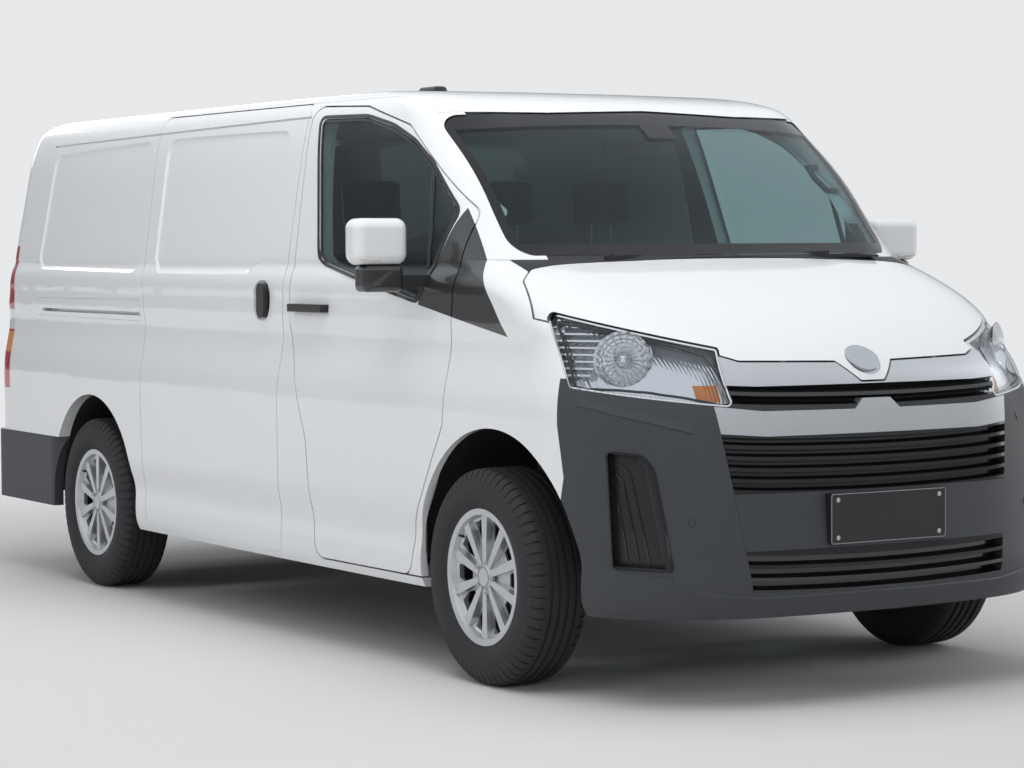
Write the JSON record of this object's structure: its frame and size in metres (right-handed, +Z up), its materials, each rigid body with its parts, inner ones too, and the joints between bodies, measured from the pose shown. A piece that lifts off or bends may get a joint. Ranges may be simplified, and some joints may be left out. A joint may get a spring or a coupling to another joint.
{
  "type": "panel van",
  "caption": "Two-seat panel van with a hollow load space, opening doors, bonnet and tailgate, steered front wheels and a floor on two rails.",
  "frame": {"origin": "on the ground, midway between the bumpers and between the sides", "axes": "+X to the van's left, +Y to its rear, +Z up"},
  "size_m": [2.36, 5.2642, 2.05],
  "materials": {
    "paint": "gloss white paint",
    "dark_plastic": "grained dark grey plastic",
    "silver_trim": "satin silver paint",
    "clear_lens": "clear lamp lens",
    "red_lens": "red lamp lens",
    "window_glass": "tinted window glass",
    "tyre": "road tyre",
    "wheel": "silver wheel and cover",
    "black_steel": "black painted steel",
    "cast": "bare cast metal",
    "bare_steel": "bare steel",
    "liner": "black moulded liner",
    "floor_mat": "ribbed floor mat",
    "seat_cloth": "dark seat cloth",
    "cab_plastic": "dark cab trim",
    "black_plastic": "black plastic"
  },
  "bodies": {
    "body": {"cab_mirror": "cab_plastic", "chassis_frame": "black_steel", "cowl": "black_plastic", "dashboard": "cab_plastic", "engine": "cast", "exhaust": "bare_steel", "front_bumper": "dark_plastic", "front_suspension": "black_steel", "front_wings": "paint", "fuel_tank": "liner", "grille": "black_plastic", "grille_bars": "silver_trim", "headlamp_lenses": "clear_lens", "headlamps": "silver_trim", "leaf_springs": "black_steel", "load_floor": "floor_mat", "mud_flaps": "liner", "plate_holder": "black_plastic", "propeller_shaft": "black_steel", "rear_axle": "black_steel", "rear_bumper": "dark_plastic", "roof": "paint", "roof_aerial": "black_plastic", "seats": "seat_cloth", "side_left": "paint", "side_right": "paint", "slide_handle": "black_plastic", "slide_rail": "paint", "sliding_door": "paint", "spare_wheel": "tyre", "tail_lamps": "red_lens", "toe_board": "floor_mat", "wheel_housings": "liner", "windscreen": "window_glass", "wipers": "black_plastic"},
    "door_left": {"door_left": "paint", "door_left_glass": "window_glass", "handle_left": "black_plastic", "mirror_left": "paint"},
    "door_right": {"door_right": "paint", "door_right_glass": "window_glass", "handle_right": "black_plastic", "mirror_right": "paint"},
    "bonnet": {"bonnet": "paint"},
    "tailgate": {"tailgate": "paint", "tailgate_glass": "window_glass"},
    "steer_left": {"knuckle_left": "cast"},
    "steer_right": {"knuckle_right": "cast"},
    "wheel_fl": {"tyre_fl": "tyre", "wheel_fl": "wheel"},
    "wheel_fr": {"tyre_fr": "tyre", "wheel_fr": "wheel"},
    "wheel_rl": {"tyre_rl": "tyre", "wheel_rl": "wheel"},
    "wheel_rr": {"tyre_rr": "tyre", "wheel_rr": "wheel"},
    "steering": {"steering_wheel": "cab_plastic"}
  },
  "joints": [
    {"name": "steer_left", "type": "hinge", "parent": "body", "child": "steer_left", "pos_m": [0.6825, -1.7075, 0.353], "axis": [0, 0, 1], "range_deg": [-34, 34]},
    {"name": "steer_right", "type": "hinge", "parent": "body", "child": "steer_right", "pos_m": [-0.6825, -1.7075, 0.353], "axis": [0, 0, 1], "range_deg": [-34, 34]},
    {"name": "spin_fl", "type": "hinge", "parent": "steer_left", "child": "wheel_fl", "pos_m": [0.8375, -1.7075, 0.353], "axis": [1, 0, 0], "continuous": true},
    {"name": "spin_fr", "type": "hinge", "parent": "steer_right", "child": "wheel_fr", "pos_m": [-0.8375, -1.7075, 0.353], "axis": [1, 0, 0], "continuous": true},
    {"name": "spin_rl", "type": "hinge", "parent": "body", "child": "wheel_rl", "pos_m": [0.835, 1.5025, 0.353], "axis": [1, 0, 0], "continuous": true},
    {"name": "spin_rr", "type": "hinge", "parent": "body", "child": "wheel_rr", "pos_m": [-0.835, 1.5025, 0.353], "axis": [1, 0, 0], "continuous": true},
    {"name": "door_left_swing", "type": "hinge", "parent": "body", "child": "door_left", "pos_m": [0.968, -1.4955, 1], "axis": [0, 0, -1], "range_deg": [0, 68]},
    {"name": "door_right_swing", "type": "hinge", "parent": "body", "child": "door_right", "pos_m": [-0.968, -1.4955, 1], "axis": [0, 0, 1], "range_deg": [0, 68]},
    {"name": "bonnet_lift", "type": "hinge", "parent": "body", "child": "bonnet", "pos_m": [0, -1.7675, 1.372], "axis": [-1, 0, 0], "range_deg": [0, 48]},
    {"name": "tailgate_lift", "type": "hinge", "parent": "body", "child": "tailgate", "pos_m": [0, 2.4465, 1.898], "axis": [1, 0, 0], "range_deg": [0, 88]},
    {"name": "steering_turn", "type": "hinge", "parent": "body", "child": "steering", "pos_m": [-0.4, -1.0675, 1.17], "axis": [0, 0.8829, 0.4695], "range_deg": [-560, 560]}
  ],
  "couplings": [
    {"joint": "steer_right", "follows": "steer_left", "ratio": 1},
    {"joint": "steering_turn", "follows": "steer_left", "ratio": 16}
  ]
}
